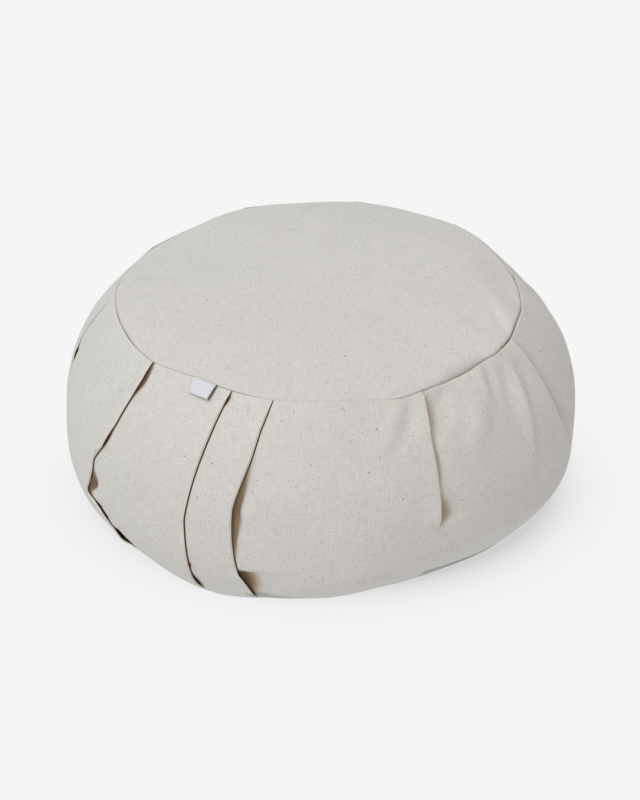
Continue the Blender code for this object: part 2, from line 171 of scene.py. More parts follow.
GIRTH = 1.12                    # mean length around the side, in metres
SIDE_LENGTH = 0.172             # mean length of the side from seam to seam, in metres
DEGREE = GIRTH / 360
SIDE_CREASES = creases(
    np.array([DEGREE, SIDE_LENGTH]),
    ((291.5, 1.00), (281.5, 0.76), 9, 1.1, 0.40),
    ((295.5, 1.00), (284.5, 0.75), 9, -1.6, 0.40),
    ((299.3, 0.92), (308.0, 0.99), 7, -1.6, 0.45),
    ((314.5, 0.96), (306.0, 0.66), 15, 2.4, 0.40),
    ((318.2, 1.01), (314.8, 0.82), 7, 1.1, 0.30),
    ((320.8, 1.01), (318.0, 0.78), 9, -1.9, 0.35),
    ((326.0, 1.01), (319.6, 0.68), 10, -2.3, 0.35),
    ((328.2, 1.00), (322.4, 0.40), 8, 2.5, 0.40),
    ((331.2, 0.98), (326.0, 0.44), 9, -2.3, 0.40),
    ((336.5, 0.43), (321.5, 0.41), 6, 1.7, 0.40),
)

# Creases of the top panel, with x and y in millimetres for ends.
TOP_CREASES = creases(
    MM,
    ((66, -119), (113, -85), 8, -1.8, 0.50),
    ((141, -34), (131, 90), 32, -5.0, 0.55),
    ((136, -56), (107, 24), 12, 1.8, 0.25),
    ((129, -64), (115, 2), 5, 1.0, 0.35),
    ((125, -63), (112, -18), 5, -0.9, 0.30),
    ((115, -62), (82, -10), 12, -0.9, 0.25),
    ((141, -24), (126, 6), 5, -1.0, 0.35),
    ((-134, 20), (-80, 6), 10, -0.8, 0.30),
)

# How the pleats are laid: along a fold's edge, in its layers, and in its shades.
COURSE_SAMPLES = 241
CORNER_ROUND = 1.2 * MM         # over which a fold's edge turns a corner
CROSS_ROUND = 18.0 * MM         # over which the cloth's rows turn to cross a fold squarely
CROSS_FADE = 0.12               # part of a fold's length over which they turn back along the seams
CROSS_LIMIT = 60.0              # degrees
PRESSED = 0.3                   # thickness left of the layers sewn into a seam
PRESS_LENGTH = 4.0 * MM
FLAT_EASE = 0.06                # part of a fold's length over which it comes up from a flat stretch
POCKET_OPENING = 0.35           # part of the opening that is left at the pocket's end
POCKET_LEAST = 0.3              # part of a closed fold's gap that is left there
TIP_STEPS = 8
INNER_STEPS = 4
POCKET_STEPS = 6
UNDER_STEPS = 5
LINE_WIDTH = 0.65 * MM          # painted shadow line beside a closed fold
LINE_SOFT = 0.4 * MM
TINT_SLOPE = 0.4                # part of the slope beside a gap over which the gap's painted shade ends
HIGHLIGHT_WIDTH = 2.0 * MM           # painted highlight along a fold's pressed edge
SEAM_SHADE = 0.9                # shade in a fully drawn-in seam
SEAM_SHADE_REACH = 0.45 * MM
BASE_SHADE_RISE = (0.07, 0.095, 0.125, 0.15)    # height shares where the side's lower shade comes and goes

# How the cloth's points are spaced: the finest step, the widest, and how fast steps grow at both ends.
# A round panel's span runs from its rim to its centre, or to the flat that the cushion rests on.
COLUMN_STEPS = (0.5 * MM, 3.3 * MM, 1.15, 1.3)
ROW_STEPS = (0.22 * MM, 2.1 * MM, 1.32)
TOP_SPAN = 140.0 * MM
TOP_STEPS = (0.2 * MM, 3.2 * MM, 1.35)
BASE_SPAN = 35.0 * MM
BASE_STEPS = (0.2 * MM, 2.0 * MM, 1.35)
ROUND_COLUMNS = 360
HIDDEN_STEP = 0.11              # degrees between a fold's columns inside a seam

# The filled body under its two round panels.
GRAIN = ((0.055, 0.9), (0.022, 0.32))     # wavelength in metres and height in mm of the lumpy filling
RIM_GRAIN = 0.5                 # part of the lumps that is left at the top panel's rim
RIM_POWER = 8                   # how the side's top follows the creases of the panel's rim
FILL_GAP = 0.6 * MM             # between a panel's inner face and the filled body
BASE_PULL = 0.6                 # how far the base seam is drawn in, as a share of the seam depth
BASE_INSETS = (34 * MM, 20 * MM, 6 * MM)
TOP_INSETS = (0, 5 * MM, 20 * MM, 70 * MM)

# The seam label: where its ends hang, how far down, and how its loop of tape is shaped.
LABEL_CENTRE = 237.3            # azimuth
LABEL_WIDTH = 18.0 * MM
LABEL_DROP = 10.5 * MM
LABEL_TAPE = 0.35 * MM
LABEL_LEAN = 1.6 * MM           # how far its lower left corner hangs to the right
LABEL_SKEW = 3.2 * MM           # how much narrower it is at its fold
LABEL_BEHIND = 1.1 * MM         # how far its back shows past its front, at the right
LABEL_SHADED = 1.8 * MM         # width of its back, at the right, that has painted shade
LABEL_STAND = 1.0 * MM
LABEL_LOOP = 0.9 * MM           # between its front and its back
LABEL_TUCK = 3.0 * MM           # length over which it closes to half as it enters the seam
LABEL_CURL = 0.9 * MM           # how far its lower right corner curls out
LABEL_TURN = 0.2                # part of its length that goes round its fold
LABEL_SLOPE = math.sqrt(0.5)    # fall in height for each metre down the side where it hangs
LABEL_COLUMNS = 24
LABEL_ROWS = 20

CANVAS_NAME = "unbleached canvas"
THREAD_RUN = 9.0 * MM           # length over which a thread's tone changes
SLUB_LENGTH = 3.5 * MM
SLUB_WIDTH = 0.7 * MM
PATCH_SIZE = 35.0 * MM          # of the cloth's paler and darker patches
RAGGED_SIZE = 0.5 * MM          # of the unevenness of a fleck's rim
TAPE_RIB = 0.35 * MM
TAPE_RUN = 5.0 * MM             # length over which a rib's tone changes

# Flecks of husk: cell size and radius in mm, share of the cells that hold one, strength.
FLECKS = ((2.6, 0.34, 0.36, 0.38), (6.5, 0.46, 0.45, 0.65), (24.0, 0.62, 0.40, 0.9))

FLOOR_HALF = 6.0                # half side of the floor, in metres
PICTURE_HEIGHT = 800            # pixels
SENSOR_WIDTH = 36.0             # mm


def number_setting(name, description, default, **limits):
    """A number that a user can change."""
    return FloatProperty(name=name, description=description, default=default, **limits)


def length_setting(name, description, millimetres, least=0.0):
    """A size that a user can change, from millimetres."""
    return number_setting(name, description, millimetres * MM, min=least * MM, unit="LENGTH")


def colour_setting(name, description, *values, most=1.0):
    """A colour that a user can change."""
    return FloatVectorProperty(name=name, description=description, default=values, min=0.0, max=most,
                               subtype="COLOR")


class ZafuSizes(bpy.types.PropertyGroup):
    """Sizes of the cushion's cloth."""
    crown: length_setting("Crown", "Rise of the top panel above its seam", 11.0)
    crown_power: number_setting(
        "Crown Curve", "Power of the crown's curve, flatter in the middle when higher", 3.0, min=1.5, max=6.0)
    base_power: number_setting(
        "Base Curve", "Power of the base's curve from its flat to its seam", 2.1, min=1.5, max=6.0)
    contact_radius: length_setting("Contact Radius", "Flat part of the base, which rests", 107.0)
    panel_cloth: length_setting(
        "Panel Cloth", "Thickness of a round panel's cloth with its seam allowance", 1.8)
    fold_thickness: length_setting("Fold Thickness", "Two plies of the side cloth in a pleat's fold", 1.1)
    closed_stand: length_setting("Closed Stand", "Gap under a fold that lies closed", 0.3)
    closed_mouth: length_setting(
        "Closed Mouth", "Width over which the cloth beside a closed fold comes back up", 12.0, least=1.0)
    fold_lift: length_setting("Fold Lift", "Rise of a closed fold's edge above the plain side", 1.0)
    lift_share: number_setting(
        "Lift Share", "Part of an opening that lifts the fold; the rest sinks the cloth", 0.35,
        min=0.0, max=1.0, subtype="FACTOR")
    lift_width: length_setting("Lift Width", "Width over which a fold's edge rises", 14.0, least=1.0)
    puff: length_setting("Fullness", "Fullness of the cloth between two pleats", 1.2)
    seam_depth: length_setting("Seam Depth", "Depth of the valley along a seam", 1.5)
    seam_roll: length_setting("Seam Roll", "Width over which the cloth rolls into the valley", 0.6, least=0.1)
    seam_gap: length_setting("Seam Gap", "Gap between two pieces along their seam", 0.2)


class ZafuFinish(bpy.types.PropertyGroup):
    """Colours and weave of the cloth, with the colours of its painted shade and highlights."""
    canvas: colour_setting("Canvas", "Unbleached cotton", 0.583, 0.568, 0.535)
    # Painted shade in a fold's gap and under the fold.
    deep: colour_setting("Deep Canvas", "Tint of the cloth deep in a fold", 0.33, 0.23, 0.135)
    # Painted shadow line where a fold closes on the cloth.
    dark: colour_setting("Fold Line", "Tint of the cloth where a fold closes on it", 0.06, 0.03, 0.013)
    # Painted shade in the seams.
    seam_shade: colour_setting("Seam Shade", "Tint of the cloth in a seam", 0.17, 0.16, 0.14)
    # Painted highlight along a fold's pressed edge and below the top seam.
    cream: colour_setting("Pressed Edge", "Tint of the cloth along a fold's pressed edge", 0.70, 0.66, 0.57)
    fleck: colour_setting("Flecks", "Husk flecks in the cotton", 0.16, 0.125, 0.095)
    tape: colour_setting("Label Tape", "White woven tape", 0.61, 0.615, 0.65)
    # Painted shade inside the tape's fold.
    tape_behind: colour_setting("Label Back", "Tint of the tape inside its fold", 0.10, 0.08, 0.06)
    thread_pitch: length_setting("Thread Pitch", "Distance between two threads of the canvas", 0.6, least=0.1)


class ZafuStage(bpy.types.PropertyGroup):
    """Camera, light and floor."""
    elevation: number_setting(
        "Elevation", "Camera angle above the floor", math.radians(32.0), subtype="ANGLE")
    distance: number_setting("Distance", "Camera distance from its aim", 1.44, unit="LENGTH")
    aim: FloatVectorProperty(
        name="Aim", description="Point that the camera looks at", subtype="TRANSLATION",
        default=(-0.0005, 0.0, 0.082))
    focal_pixels: number_setting(
        "Focal Length", "Focal length in pixels of an 800 pixel high picture", 2032.0)
    horizon: number_setting("Horizon", "Strength of the studio light from the sides", 0.25)
    zenith: number_setting("Overhead", "How much stronger the studio light is overhead", 0.58)
    side_light: number_setting("Side Light", "How much brighter the studio is at its left", 0.05)
    cool: colour_setting(
        "Cool Side", "Tint of the studio light from the left and rear", 0.95, 1.0, 1.03, most=2.0)
    warm: colour_setting(
        "Warm Side", "Tint of the studio light from the right and front", 1.06, 1.0, 0.98, most=2.0)
    key: number_setting("Key", "Strength of the soft key light", 1.65)
    key_from: FloatVectorProperty(
        name="Key From", description="Direction that the key light comes from", subtype="DIRECTION",
        default=(-0.33, -0.46, 0.825))
    key_spread: number_setting(
        "Key Spread", "Angle that the key light fills", math.radians(60.0), subtype="ANGLE")
    floor_white: number_setting("Floor White", "Brightness of the clear floor", 0.913)
    floor_shade: number_setting(
        "Floor Shade", "Depth of the soft shade where the cushion meets the floor", 0.32,
        min=0.0, max=1.0, subtype="FACTOR")
    shade_fall: number_setting("Shade Fall", "How fast that shade falls off past its full part", 8.8)
    shade_middle: FloatVectorProperty(
        name="Shade Middle", description="Middle of the shade, away from the key light", size=2,
        subtype="XYZ", unit="LENGTH", default=(0.0085, 0.021))
    shade_size: FloatVectorProperty(
        name="Shade Size", description="Half sides of the full shade", size=2, subtype="XYZ", unit="LENGTH",
        default=(0.159, 0.1285))


# ---------------------------------------------------------------- shape of the plain cushion

def smooth_through(values, place):
    """The smooth closed curve through evenly spaced values, at fractional indices."""
    values = np.asarray(values)
    first = np.floor(place).astype(int)
    share = place - first
    before, left, right, after = (values[(first + step) % len(values)] for step in (-1, 0, 1, 2))
    slope = right - before
    bend = 2 * before - 5 * left + 4 * right - after
    twist = 3 * (left - right) + after - before
    return left + 0.5 * share * (slope + share * (bend + share * twist))


def station(azimuth):
    """The cushion's outline sizes at azimuths."""
    azimuth = np.asarray(azimuth, float)
    place = (azimuth % 360) * len(STATIONS) / 360
    corners, radii = zip(*SEAM_LINE)
    seam = sum(np.interp(azimuth + step, corners, radii, period=360) for step in SEAM_ROUND)
    places, *pulls = zip(*SEAM_PULL)
    pull, shade = (np.interp(azimuth, places, column, period=360) for column in pulls)
    return Outline(*(smooth_through(column, place) for column in zip(*STATIONS)),
                   MM * seam / len(SEAM_ROUND), pull, MM * shade)


def bell(distance, reach):
    """1 at no distance, falling smoothly to 0 at the reach."""
    share = np.minimum(np.abs(distance) / reach, 1.0)
    return (1 - share * share) ** 2


def ease(share):
    """Smooth step from 0 to 1."""
    share = np.clip(share, 0.0, 1.0)
    return share * share * (3 - 2 * share)


def running_sum(steps, axis=0):
    """How far each of the steps gets, from 0."""
    return np.insert(np.cumsum(steps, axis=axis), 0, 0.0, axis=axis)


def plain_side(azimuth, share):
    """Radius, height and outward direction (out, up) of the side before its pleats and seams."""
    sizes = station(azimuth)
    height = sizes.base_height + (sizes.seam_height - sizes.base_height) * share
    upper = sizes.seam_height - sizes.girth_height
    lower = sizes.girth_height - sizes.base_height
    above = np.clip((height - sizes.girth_height) / upper, 0.0, None)
    below = np.clip((sizes.girth_height - height) / lower, 0.0, None)
    top_pull = sizes.girth_radius - sizes.seam_radius
    base_pull = sizes.girth_radius - sizes.base_radius
    drawn_in = top_pull * above ** sizes.upper_curve + base_pull * below ** sizes.lower_curve
    slope = (base_pull * sizes.lower_curve * below ** (sizes.lower_curve - 1) / lower
             - top_pull * sizes.upper_curve * above ** (sizes.upper_curve - 1) / upper)
    length = np.sqrt(1 + slope * slope)
    return sizes.girth_radius - drawn_in, height, 1 / length, -slope / length


def seam_distances(azimuth, share):
    """Distance along the side to the top seam and to the base seam."""
    sizes = station(azimuth)
    _, height, out, _ = plain_side(azimuth, share)
    return (sizes.seam_height - height) / out, (height - sizes.base_height) / out


def at(azimuth, radius, height):
    """Points from azimuth, radius and height."""
    turn = np.radians(azimuth)
    return np.stack([radius * np.cos(turn), radius * np.sin(turn), height + 0 * turn], axis=-1)


def seam_valley(distance, outline, sizes):
    """How deep the cloth lies in a seam's valley."""
    return sizes.seam_depth * outline.seam_pull * np.exp(-distance / sizes.seam_roll)


def base_shade(azimuth):
    """Shade at the base seam: on the side, and on the base panel."""
    places, *shades = zip(*BASE_SHADE)
    return [np.interp(azimuth % 360, places, column) for column in shades]


def seam_shade(distance, reach, outline):
    """Shade of the cloth beside the top seam."""
    return SEAM_SHADE * outline.seam_pull * np.exp(-distance / reach)


def lumps(points):
    """The filling's lumps, from slow noise at two sizes, for an array of points."""
    flat = points.reshape(-1, 3)
    rise = np.zeros(len(flat))
    for wavelength, height in GRAIN:
        rise += [height * MM * noise.noise(Vector(point) / wavelength) for point in flat]
    return rise.reshape(points.shape[:-1])


def crease_rise(x, y, folds):
    """Sum of soft creases at places in a plane."""
    rise = np.zeros(np.shape(x))
    for crease in folds:
        way = crease.end - crease.start
        length = math.hypot(*way)
        way = way / length
        along = ((x - crease.start[0]) * way[0] + (y - crease.start[1]) * way[1]) / length
        across = (y - crease.start[1]) * way[0] - (x - crease.start[0]) * way[1]
        growing = ease(along / crease.peak)
        fading = ease((1 - along) / (1 - crease.peak))
        rise += crease.rise * bell(across, crease.width) * growing * fading
    return rise


# ---------------------------------------------------------------- pleats

def rounded(values, spacing, reach):
    """Evenly spaced values with their corners rounded."""
    half = int(math.ceil(3 * reach / spacing))
    steps = np.arange(-half, half + 1) * spacing / reach
    weights = np.exp(-0.5 * steps * steps)
    longer = np.pad(values, half, mode="reflect", reflect_type="odd")
    return np.convolve(longer, weights / weights.sum(), mode="valid")


def course_of(fold, along):
    """Azimuth, height share and crossing angle of a fold's edge at shares of its length."""
    azimuths, shares = (np.array(column, float) for column in zip(*fold.course))
    x, y = azimuths * DEGREE, shares * SIDE_LENGTH
    way = running_sum(np.hypot(np.diff(x), np.diff(y)))
    samples = np.linspace(0.0, 1.0, COURSE_SAMPLES)
    spacing = way[-1] / (COURSE_SAMPLES - 1)
    x = rounded(np.interp(samples * way[-1], way, x), spacing, CORNER_ROUND)
    y = rounded(np.interp(samples * way[-1], way, y), spacing, CORNER_ROUND)
    wide_x, wide_y = (rounded(values, spacing, CROSS_ROUND) for values in (x, y))
    angle = np.arctan2(np.gradient(wide_x), -np.gradient(wide_y))
    angle = np.clip(angle, -math.radians(CROSS_LIMIT), math.radians(CROSS_LIMIT))
    angle *= ease(samples / CROSS_FADE) * ease((1 - samples) / CROSS_FADE)
    return (np.interp(along, samples, x) / DEGREE, np.interp(along, samples, y) / SIDE_LENGTH,
            np.interp(along, samples, angle))


def opened(fold, along, sizes):
    """How far a fold stands open along it, from its openings."""
    stand = np.full(len(along), sizes.closed_stand)
    gap = np.zeros(len(along))
    soft = np.full(len(along), sizes.closed_mouth)
    tint = np.zeros(len(along))
    inner = np.ones(len(along))
    for place in fold.openings:
        away = along - place.along
        strength = bell(away, np.where(away < 0, place.before, place.after))
        stand += place.stand * strength
        gap += place.gap * strength
        soft += (place.soft - soft) * strength
        tint = np.maximum(tint, place.tint * np.sqrt(strength))
        inner += (place.inner - inner) * np.sqrt(strength)
    return Opened(stand, gap, soft, tint, inner)


def end_steps(half, fine, coarse, growth):
    """Steps that grow from fine to coarse inside half a span."""
    steps = []
    while fine < coarse and sum(steps) + fine < half:
        steps.append(fine)
        fine *= growth
    return steps


def spaced_shares(span, fine, coarse, *growth):
    """Shares of a span from 0 to 1, in fine steps at both ends that grow to coarse ones."""
    near, far = (end_steps(0.5 * span, fine, coarse, rate) for rate in (growth[0], growth[-1]))
    rest = span - sum(near) - sum(far)
    middle = max(1, math.ceil(rest / coarse))
    steps = near + [rest / middle] * middle + far[::-1]
    return running_sum(steps) / span


def flattened(fold, along):
    """Share of a fold's full height that its flat stretches leave along it."""
    kept = np.ones(len(along))
    for flat in fold.flats:
        inside = ease((along - flat.start) / FLAT_EASE + 0.5) * ease((flat.end - along) / FLAT_EASE + 0.5)
        kept *= 1 - (1 - flat.kept) * inside
    return kept


def pressed(fold, along):
    """Share of a fold's full height along it: less in the seams and where it is pressed flat."""
    from_seam = np.minimum(along, 1 - along) * SIDE_LENGTH
    return flattened(fold, along) * (1 - (1 - PRESSED) * np.exp(-from_seam / PRESS_LENGTH))


def fold_layers(fold, along, sizes):
    """Columns of one fold: distance across from its edge, offset off the side, and painted fold shade.

    First the columns from the edge's round tip back to the pocket, then those of the cloth under it.
    """
    press = pressed(fold, along)
    mouth = opened(fold, along, sizes)
    # Painted shade in the gap and under the fold, less where the fold is pressed flat.
    deep = mouth.inner * flattened(fold, along) ** 2
    lift = (sizes.fold_lift + sizes.lift_share * (mouth.stand - sizes.closed_stand)) * press
    thickness = sizes.fold_thickness * press
    sink = mouth.stand * press + thickness - lift
    inner = lift - thickness
    half = 0.5 * thickness
    over = []
    for step in range(TIP_STEPS + 1):
        turn = math.pi * (0.5 - step / TIP_STEPS)
        over.append((half * (math.cos(turn) - 1), lift - half + half * math.sin(turn),
                     deep * ease(2 * step / TIP_STEPS - 0.9)))
    gap = POCKET_LEAST * sizes.closed_stand + POCKET_OPENING * (inner + sink)
    for step in range(1, INNER_STEPS + 1):
        way = step / (INNER_STEPS + 1)
        across = -half - way * (fold.overlap - half)
        offset = inner + way * way * (gap - sink - inner)
        over.append((across, offset, deep))
    pocket = []
    for step in range(POCKET_STEPS + 1):
        turn = math.pi * step / POCKET_STEPS
        offset = 0.5 * gap * (1 + math.cos(turn)) - sink
        pocket.append((-fold.overlap - 0.5 * gap * math.sin(turn), offset, deep))
    over += pocket[:POCKET_STEPS // 2 + 1]
    under = pocket[POCKET_STEPS // 2 + 1:]
    for step in range(1, UNDER_STEPS + 1):
        way = 1 - (1 - step / UNDER_STEPS) ** 2
        under.append(((way - 1) * fold.overlap, -sink, deep))
    return over, under, lift, sink


def metric(azimuth, share):
    """Metres to a degree around and to a unit of height share, on the plain side."""
    sizes = station(azimuth)
    radius, _, out, _ = plain_side(azimuth, share)
    return np.radians(radius), (sizes.seam_height - sizes.base_height) / out


def off_edge(course, across):
    """Azimuth and height share of places at distances across a fold's edge."""
    azimuth, share, angle = course
    degree, rise = metric(azimuth, share)
    return azimuth + across * np.cos(angle) / degree, share + across * np.sin(angle) / rise


def strip_between(left, right, along, sizes):
    """The cloth from one pleat's pocket to the next one's.

    Its columns are azimuths, shares, offsets, painted fold shade and painted edge highlights. Their azimuths
    inside the seams come with them.
    """
    left_course = course_of(left, along)
    right_course = course_of(right, along)
    turns = 360.0 if right.course[0][0] < left.course[0][0] else 0.0
    right_course = (right_course[0] + turns, *right_course[1:])
    first, last = left_course[0][0], right_course[0][0]    # azimuths at the top seam
    _, under, _, sink = fold_layers(left, along, sizes)
    over, _, lift, _ = fold_layers(right, along, sizes)
    mouth = opened(left, along, sizes)
    right_press, shown = pressed(right, along), flattened(left, along) ** 2
    no_edge = np.zeros(len(along))
    columns = []
    hidden = []
    for place, (across, offset, tint) in enumerate(under):
        columns.append((*off_edge(left_course, across), offset, tint, no_edge))
        hidden.append(first - HIDDEN_STEP * (len(under) - 1 - place))
    # The open cloth between the two folds, on rows that leave and meet the folds' edges squarely.
    degree, _ = metric(left_course[0], left_course[1])
    width = (right_course[0] - left_course[0]) * degree
    shares = spaced_shares(float(width.mean()), *COLUMN_STEPS)[1:-1]
    start, end = (np.array([azimuth * DEGREE, share * SIDE_LENGTH])
                  for azimuth, share, _ in (left_course, right_course))
    out, back = (np.array([np.cos(angle), np.sin(angle)]) for *_, angle in (left_course, right_course))
    reach = np.hypot(*(end - start))
    fold_band = HIDDEN_STEP * (len(over) + len(under) + 1)
    for way in shares:
        leaving, arriving = way * (1 - way) ** 2, -way * way * (1 - way)
        blend = way * way * (3 - 2 * way)
        x, y = start + (end - start) * blend + reach * (leaving * out + arriving * back)
        azimuth, share = x / DEGREE, np.clip(y / SIDE_LENGTH, 0.0, 1.0)
        from_edge, to_next = way * width, (1 - way) * width
        puff = sizes.puff * math.sin(math.pi * way) * np.sin(math.pi * share)
        dip = sink * bell(np.maximum(from_edge - mouth.gap, 0.0), mouth.soft)
        offset = puff - dip + lift * bell(to_next, sizes.lift_width)
        # A painted shadow line beside the closed fold, painted shade over its open gap, and a painted
        # highlight along the next fold's pressed edge.
        line = mouth.inner * ease((LINE_WIDTH - from_edge) / LINE_SOFT + 0.5)
        past_gap = (LINE_WIDTH + mouth.gap - from_edge) / (LINE_SOFT + TINT_SLOPE * mouth.soft)
        tint = shown * np.maximum(line, mouth.tint * ease(past_gap + 0.5))
        columns.append((azimuth, share, offset, tint, right_press * bell(to_next, HIGHLIGHT_WIDTH)))
        hidden.append(first + way * (last - fold_band - first))
    for place, (across, offset, tint) in enumerate(over):
        # Painted highlight on the outer half of the fold's round tip.
        edge = right_press if place <= TIP_STEPS // 2 else no_edge
        columns.append((*off_edge(right_course, across), offset, tint, edge))
        hidden.append(last - HIDDEN_STEP * (len(over) + len(under) - 1 - place))
    return columns, hidden


def top_surface(azimuth, share, sizes):
    """Radius and height of the top panel's outer face, from 0 at its centre to 1 at its rim."""
    outline = station(azimuth)
    radius = (outline.seam_radius - 0.5 * sizes.seam_gap) * share
    middle = sum(row.seam_height for row in STATIONS) / len(STATIONS)
    seam = middle + (outline.seam_height - middle) * share ** 2
    crown = sizes.crown * (1 - share ** sizes.crown_power)
    height = seam + crown - seam_valley(outline.seam_radius - radius, outline, sizes)
    plan = at(azimuth, radius, height)
    lumpy = lumps(plan) * (1 - (1 - RIM_GRAIN) * share ** 4)
    return radius, height + lumpy + crease_rise(plan[..., 0], plan[..., 1], TOP_CREASES)


def base_surface(azimuth, share, sizes):
    """Radius and height of the base panel's outer face, from 0 at its flat to 1 at its rim."""
    outline = station(azimuth)
    rim = outline.base_radius - 0.5 * sizes.seam_gap
    radius = sizes.contact_radius + (rim - sizes.contact_radius) * share
    valley = BASE_PULL * sizes.seam_depth * np.exp(-(rim - radius) / sizes.seam_roll)
    return radius, outline.base_height * share ** sizes.base_power + valley


def hidden_rows(azimuths, sizes):
    """Rows of the filled body inside the base panel, then those inside the top panel."""
    outline = station(azimuths)
    flat = sizes.contact_radius
    lower = []
    for inset in BASE_INSETS:
        share = np.clip((outline.base_radius - inset - flat) / (outline.base_radius - flat), 0.0, 1.0)
        radius, height = base_surface(azimuths, share, sizes)
        rise = sizes.base_power * outline.base_height * share ** (sizes.base_power - 1)
        slope = np.arctan(rise / (outline.base_radius - flat))
        lower.append(at(azimuths, radius, height + (sizes.panel_cloth + FILL_GAP) / np.cos(slope)))
    lower.append(at(azimuths, outline.base_radius,
                    outline.base_height + sizes.seam_depth + sizes.panel_cloth + FILL_GAP))
    upper = []
    for inset in TOP_INSETS:
        share = (outline.seam_radius - inset) / outline.seam_radius
        radius, height = top_surface(azimuths, share, sizes)
        upper.append(at(azimuths, radius, height - sizes.panel_cloth - FILL_GAP))
    return lower, upper


def side_points(sizes):
    """The whole side cloth as a grid of points, columns by rows from the base's middle to the top's.

    Its painted shade and highlights and the strip that each column is in come with it.
    """
    along = spaced_shares(SIDE_LENGTH, *ROW_STEPS)
    columns = []
    hidden = []
    strips = []
    for index, left in enumerate(PLEATS):
        right = PLEATS[(index + 1) % len(PLEATS)]
        strip, plan = strip_between(left, right, along, sizes)
        strips += [index] * len(strip)
        columns += strip
        hidden += plan
    azimuth, share, offset, tint, edge = (np.array(values)[:, ::-1] for values in zip(*columns))
    radius, height, out, rise = plain_side(azimuth, share)
    outline = station(azimuth)
    rim = at(azimuth, outline.seam_radius, 0.0)
    height = height + crease_rise(rim[..., 0], rim[..., 1], TOP_CREASES) * share ** RIM_POWER
    offset = (offset + lumps(at(azimuth, radius, height))
              + crease_rise(azimuth % 360 * DEGREE, share * SIDE_LENGTH, SIDE_CREASES))
    to_top, to_base = seam_distances(azimuth, share)
    base_valley = BASE_PULL * sizes.seam_depth * np.exp(-to_base / sizes.seam_roll)
    height += rise * offset - seam_valley(to_top, outline, sizes) + base_valley
    points = at(azimuth, radius + out * offset, height)
    lower, upper = hidden_rows(np.array(hidden), sizes)
    middle = float(top_surface(np.zeros(1), np.zeros(1), sizes)[1][0])
    crown = at(np.array(hidden), 0.0, middle - sizes.panel_cloth - FILL_GAP)
    bottom = at(np.array(hidden), 0.0, sizes.panel_cloth + FILL_GAP)
    rows = [bottom, *lower, *points.swapaxes(0, 1), *upper, crown]
    low, high = len(lower) + 1, len(upper) + 1
    # The painted fold shade fades out in the top seam, a painted highlight lies on the side's rolled edge
    # just below it, and painted shade lies along the top seam and above the base seam.
    tint = tint * ease(to_top / SEAM_SHADE_REACH)
    edge = np.maximum(edge, outline.seam_pull * bell(to_top - 3 * SEAM_SHADE_REACH, HIGHLIGHT_WIDTH))
    start, full, fading, end = BASE_SHADE_RISE
    base_line = ease((share - start) / (full - start)) * ease((end - share) / (end - fading))
    base_line = base_shade(azimuth)[0] * base_line
    shade = np.maximum(seam_shade(to_top, SEAM_SHADE_REACH, outline), base_line)
    painted_shading = {"deep": tint, "edge": edge, "shade": shade}
    painted_shading = {name: np.pad(values, ((0, 0), (low, high)), mode="edge") for name, values in painted_shading.items()}
    return np.array(rows).swapaxes(0, 1), painted_shading, np.array(strips)


def panel_grid(span, steps):
    """Azimuths and shares of a round panel's points, from 1 at its rim inward."""
    shares = spaced_shares(2 * span, *steps)
    azimuths = np.arange(ROUND_COLUMNS) * 360.0 / ROUND_COLUMNS
    return np.meshgrid(azimuths, 1 - 2 * shares[:(len(shares) + 1) // 2], indexing="ij")


def cloth_places(points, strips):
    """Where each point lies on the flat cloth, in metres, with every strip's threads square to its middle."""
    around, climb = (running_sum(np.linalg.norm(np.diff(points, axis=axis), axis=2), axis)
                     for axis in (0, 1))
    girth_row = points.shape[1] // 2
    u, v = np.empty(around.shape), np.empty(around.shape)
    for index in range(len(PLEATS)):
        members = np.flatnonzero(strips == index)
        middle = members[len(members) // 2]
        u[members] = around[middle, girth_row] + around[members] - around[middle]
        v[members] = climb[middle]
    return np.stack([u, v], axis=-1)


# ---------------------------------------------------------------- meshes

def grid_mesh(points, places, layers=None, wrap=True):
    """A bmesh grid moved to an array of points, columns by rows, with its places on the flat cloth.

    The first column is repeated to close the way round, and rows that meet in a point are merged.
    """
    if wrap:
        points = np.concatenate([points, points[:1]])
        jump = np.linalg.norm(points[-1] - points[-2], axis=-1)
        seam = places[-1] + np.stack([jump, 0 * jump], axis=-1)
        places = np.concatenate([places, seam[None]])
        layers = {name: np.concatenate([values, values[:1]]) for name, values in (layers or {}).items()}
    columns, rows = points.shape[0] - 1, points.shape[1] - 1
    mesh = bmesh.new()
    uv = mesh.loops.layers.uv.new("cloth")
    floats = {name: mesh.verts.layers.float.new(name) for name in (layers or {})}
    bmesh.ops.create_grid(mesh, x_segments=columns, y_segments=rows, size=1.0)
    where = {}
    for vertex in mesh.verts:
        where[vertex] = (round((vertex.co.x + 1) * 0.5 * columns), round((vertex.co.y + 1) * 0.5 * rows))
    for face in mesh.faces:
        for corner in face.loops:
            corner[uv].uv = places[where[corner.vert]]
    for vertex, place in where.items():
        vertex.co = points[place]
        for name, layer in floats.items():
            vertex[layer] = layers[name][place]
    bmesh.ops.remove_doubles(mesh, verts=mesh.verts, dist=0.001 * MM)
    bmesh.ops.dissolve_degenerate(mesh, edges=mesh.edges, dist=0.001 * MM)
    return mesh


def add_piece(name, mesh, material, node):
    """Turn a bmesh into a smooth-shaded piece that replaces a node of the frame."""
    data = bpy.data.meshes.new(name)
    mesh.to_mesh(data)
    mesh.free()
    data.shade_smooth()
    data.materials.append(material)
    piece = bpy.data.objects.new(name, data)
    bpy.context.scene.collection.objects.link(piece)
    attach(piece, BODY)
    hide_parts(node)
    return piece


def add_thickness(piece, thickness):
    """Give an open sheet its thickness, on its inner side."""
    wall = piece.modifiers.new("Thickness", "SOLIDIFY")
    wall.thickness = thickness
    wall.offset = -1.0
    wall.use_even_offset = True


# ---------------------------------------------------------------- materials

